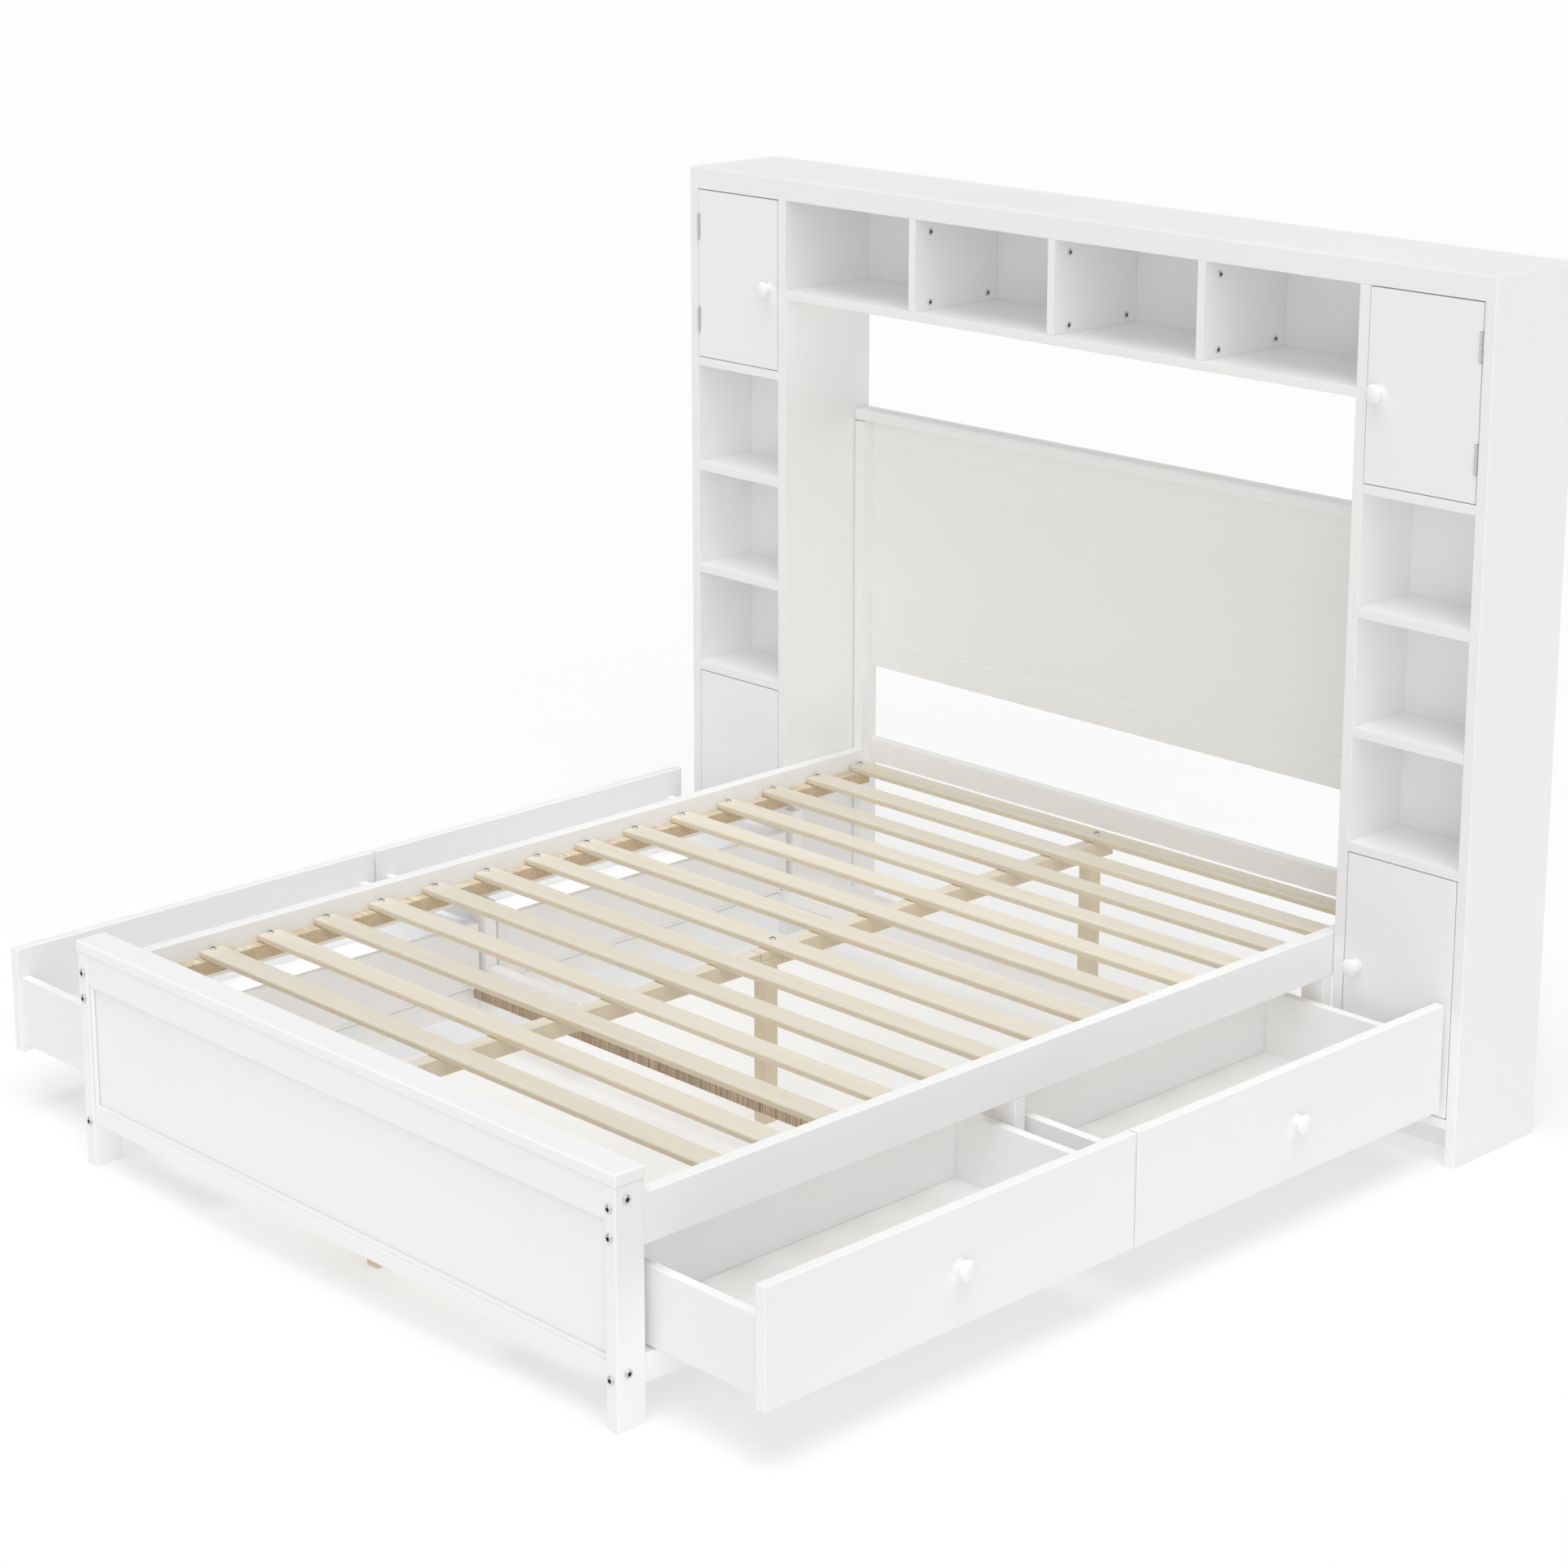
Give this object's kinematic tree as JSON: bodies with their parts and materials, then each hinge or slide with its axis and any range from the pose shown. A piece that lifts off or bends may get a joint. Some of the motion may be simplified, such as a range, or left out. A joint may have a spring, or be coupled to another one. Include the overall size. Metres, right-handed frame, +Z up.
{
  "type": "platform bed",
  "caption": "White platform bed with a slatted deck, side drawers, a panelled headboard, and flanking bookcase towers joined by a bridge of open cubbies.",
  "frame": {"origin": "on the floor under the middle leg of the centre beam, midway across the bed and midway between the footboard cap's face and the towers' backs", "axes": "+X to the right-hand side seen from the foot of the bed, +Y from the footboard to the headboard, +Z up"},
  "size_m": [2.0825, 1.991, 1.609],
  "materials": {
    "white_paint": "white satin paint on wood and board",
    "pine": "planed pale pine with a clear matt finish",
    "rough_pine": "unfinished coarse-grained softwood",
    "screw_steel": "dull zinc-plated steel"
  },
  "bodies": {
    "bed": {"foot_posts": "white_paint", "foot_cap": "white_paint", "foot_upper_rail": "white_paint", "foot_panel": "white_paint", "foot_moulding": "white_paint", "foot_lower_rail": "white_paint", "frame_bolts": "screw_steel", "side_rails": "white_paint", "slat_cleats": "rough_pine", "lower_rails": "white_paint", "bay_posts": "white_paint", "crossbars": "rough_pine", "head_crossbar": "white_paint", "drawer_guides": "white_paint", "drawer_runners": "white_paint", "slats": "pine", "slat_screws": "screw_steel", "beam_foot": "pine", "beam_head": "pine", "beam_legs": "pine", "head_posts": "white_paint", "head_cap": "white_paint", "head_top_rail": "white_paint", "head_panel": "white_paint", "head_bottom_rail": "white_paint", "head_low_rail": "white_paint", "tower_sides": "white_paint", "tower_inners": "white_paint", "tower_shelves": "white_paint", "tower_floors": "white_paint", "toe_kicks": "white_paint", "tower_backs": "white_paint", "bridge_top": "white_paint", "bridge_fascia": "white_paint", "bridge_floor": "white_paint", "bridge_back": "white_paint", "dividers": "white_paint", "divider_bolts": "screw_steel", "door_hinges": "screw_steel"},
    "door_upper_left": {"door_upper_left": "white_paint", "knob_upper_left": "white_paint"},
    "door_lower_left": {"door_lower_left": "white_paint", "knob_lower_left": "white_paint"},
    "door_upper_right": {"door_upper_right": "white_paint", "knob_upper_right": "white_paint"},
    "door_lower_right": {"door_lower_right": "white_paint", "knob_lower_right": "white_paint"},
    "drawer_foot_left": {"front_foot_left": "white_paint", "box_foot_left": "white_paint", "knob_foot_left": "white_paint"},
    "drawer_foot_right": {"front_foot_right": "white_paint", "box_foot_right": "white_paint", "knob_foot_right": "white_paint"},
    "drawer_head_left": {"front_head_left": "white_paint", "box_head_left": "white_paint", "knob_head_left": "white_paint"},
    "drawer_head_right": {"front_head_right": "white_paint", "box_head_right": "white_paint", "knob_head_right": "white_paint"}
  },
  "joints": [
    {"name": "slide_foot_left", "type": "slide", "parent": "bed", "child": "drawer_foot_left", "axis": [-1, 0, 0], "range_m": [-0.314, 0.0045]},
    {"name": "slide_foot_right", "type": "slide", "parent": "bed", "child": "drawer_foot_right", "axis": [1, 0, 0], "range_m": [-0.2335, 0.085]},
    {"name": "slide_head_left", "type": "slide", "parent": "bed", "child": "drawer_head_left", "axis": [-1, 0, 0], "range_m": [-0.314, 0.0045]},
    {"name": "slide_head_right", "type": "slide", "parent": "bed", "child": "drawer_head_right", "axis": [1, 0, 0], "range_m": [-0.2335, 0.085]},
    {"name": "hinge_upper_left", "type": "hinge", "parent": "bed", "child": "door_upper_left", "pos_m": [-0.9765, 0.748, 1.3895], "axis": [0, 0, -1], "range_deg": [0, 100]},
    {"name": "hinge_lower_left", "type": "hinge", "parent": "bed", "child": "door_lower_left", "pos_m": [-0.974, 0.753, 0.3115], "axis": [0, 0, -1], "range_deg": [0, 7]},
    {"name": "hinge_upper_right", "type": "hinge", "parent": "bed", "child": "door_upper_right", "pos_m": [0.9765, 0.748, 1.3895], "axis": [0, 0, 1], "range_deg": [0, 100]},
    {"name": "hinge_lower_right", "type": "hinge", "parent": "bed", "child": "door_lower_right", "pos_m": [0.974, 0.753, 0.3115], "axis": [0, 0, 1], "range_deg": [0, 7]}
  ]
}
